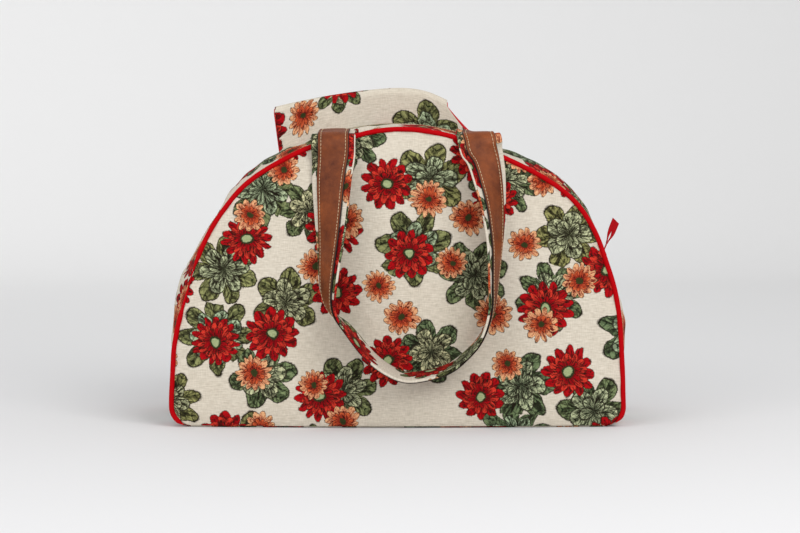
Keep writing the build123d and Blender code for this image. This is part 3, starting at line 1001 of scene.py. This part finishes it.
def dress(made, material, slot, *nodes, body="bag"):
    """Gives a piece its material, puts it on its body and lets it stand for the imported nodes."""
    made.data.materials.append(material)
    if nodes:
        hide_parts(*nodes)
    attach(made, body)
    return made


tapestry = printed_cloth()
piping_red = red_cloth("piping_red", srgb(160, 0, 6), srgb(178, 2, 12), 900, 700, 0.05, 0.0)
lining_red = red_cloth("lining_red", srgb(176, 12, 26), srgb(200, 26, 38), 1200, 1200)
tape_red = red_cloth("tape_red", srgb(168, 10, 22), srgb(192, 24, 34), 500, 2200)
ribbon_red = red_cloth("ribbon_red", srgb(154, 2, 12), srgb(176, 10, 20), 300, 2400, 0.08, 0.0)
leather = brown_leather()
thread = thread_finish()
teeth_red = hard_finish("teeth_red", srgb(150, 10, 22), srgb(186, 22, 32), 0.4, 0.0, 300)
lacquer = hard_finish("red_lacquer", srgb(150, 8, 20), srgb(184, 16, 28), 0.3, 0.0, 200)
board_black = hard_finish("board_black", srgb(24, 24, 26), srgb(44, 44, 46), 0.6, 0.0, 90)

for side, place in ((-1, "front"), (1, "back")):
    piped = dress(piping(f"{place}_piping_cord", side), piping_red, "red_piping", f"piping_{place}")
    face = panel(f"{place}_panel_cloth", side, 0.0, cloth, 11 + side, (0.0, 0.45 * (side > 0)))
    dress(face, tapestry, "tapestry", f"{place}_panel")
    inside = panel(f"{place}_lining_cloth", side, panel_lining_inset, lining_thickness, 11 + side, (0.0, 0.0))
    dress(inside, lining_red, "red_lining", f"lining_{place}")
    strip = zip_strip(f"{place}_zip_strip", side, (0.4 * side, 0.2))
    dress(strip, tapestry, "tapestry", f"zip_gusset_{place}")
    tape = dress(zip_tape(f"{place}_zip_tape", side), tape_red, "red_zip_tape", f"zip_tape_{place}")
    dress(zip_teeth(f"{place}_zip_teeth", side), teeth_red, "zip_teeth", f"zip_teeth_{place}")
    dress(zip_stitching(f"{place}_zip_stitching", side), thread, "tapestry")

for place, shift in (("right", (0.7, 0.1)), ("left", (-0.6, 0.0))):
    strip = side_strip(f"{place}_side_strip", place == "left", shift)
    dress(strip, tapestry, "tapestry", f"side_gusset_{place}")
inside = dress(gusset_lining("gusset_lining_cloth"), lining_red, "red_lining", "lining_gusset")
under = dress(base("base_cloth"), tapestry, "tapestry", "base_panel")

handle_path = handle_line(320)
for front in (True, False):
    place = "front" if front else "back"
    strap, facing, sewing = handle(front, handle_path)
    dress(strap, tapestry, "tapestry", f"handle_{place}_strap")
    dress(facing, leather, "brown_leather", f"handle_{place}_leather")
    dress(sewing, thread, "brown_leather")

band = dress(sleeve("sleeve_cloth", 0.0, 0.0, 0.0, cloth, (0.12, 0.33)), tapestry, "tapestry", "top_sleeve")
inside = sleeve("sleeve_lining", sleeve_lining_inset, 0.0010, 0.0085, lining_thickness, (0.0, 0.0))
dress(inside, lining_red, "red_lining", "top_sleeve_lining")
dress(pull_ribbon("ribbon_pull"), ribbon_red, "red_ribbon", "pull_ribbon", body="zip_puller")

for node in ("zip_slider", "zip_puller", "zip_stop_left", "zip_stop_right", "base_board"):
    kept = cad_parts[node]
    kept.data.materials.clear()
    kept.data.materials.append(board_black if node == "base_board" else lacquer)

# Floor, light and camera

def backdrop():
    """Floor that curves up into a wall behind: a line of depth and height carried across.

    The floor is darker and the wall paler. Across the wall is painted light, paler to the left, with painted
    shade to the right.
    """
    bend = np.linspace(-math.pi / 2, 0, 24)
    y = np.concatenate([[-5.0, 0.5], 2.3 + 0.8 * np.cos(bend), [3.1]])
    z = np.concatenate([[0.0, 0.0], 0.8 + 0.8 * np.sin(bend), [4.0]])
    x = np.array([-5.0, 5.0])
    points = np.stack(np.broadcast_arrays(x[:, None], y[None], z[None]), axis=-1)
    made = surface("backdrop", points, points[..., :2])
    paper, shader, place = new_material("paper_with_painted_light", "Object", Roughness=0.95)
    across, back, _ = place.split()
    far = ((back - 0.2) * 0.4).clamp()
    # Painted light across the wall: paler on the left, with painted shade on the right.
    wall = ((across + 1.0) * 0.5).clamp().mix(srgb(247, 247, 247), srgb(233, 233, 233))
    feed(shader, Base_Color=far.mix(srgb(222, 222, 223), wall))
    made.data.materials.append(paper)


def lamp(name, place, aim, size, power):
    """Soft square lamp at a place, turned to an aim."""
    data = bpy.data.lights.new(name, "AREA")
    data.size = size
    data.energy = power
    made = bpy.data.objects.new(name, data)
    bpy.context.scene.collection.objects.link(made)
    made.location = place
    made.rotation_euler = look(place, aim)


def look(place, aim):
    """Turn that points -Z from a place to an aim, with +Y up."""
    x, y, z = (b - a for a, b in zip(place, aim))
    return (math.pi / 2 + math.atan2(z, math.hypot(x, y)), 0, math.atan2(y, x) - math.pi / 2)


backdrop()
lamp_aim = (0, 0, 0.15)
lamp("key", (1.4, -2.2, 1.9), lamp_aim, 1.6, 46)
lamp("fill", (-1.8, -2.2, 1.2), lamp_aim, 1.8, 26)
world = bpy.data.worlds.new("studio")
bpy.context.scene.world = world
world.use_nodes = True
sky = world.node_tree.nodes["Background"]
sky.inputs["Color"].default_value = (1, 1, 1, 1)
sky.inputs["Strength"].default_value = 0.72

camera_data = bpy.data.cameras.new("camera")
camera_data.sensor_width = 36
camera_data.lens = 99.3
camera = bpy.data.objects.new("camera", camera_data)
bpy.context.scene.collection.objects.link(camera)
camera.location = (0.0027, -2.5, 0.315)
camera.rotation_euler = look(camera.location, (0.0027, -0.1, 0.176))
bpy.context.scene.camera = camera
bpy.context.scene.view_settings.view_transform = "Standard"
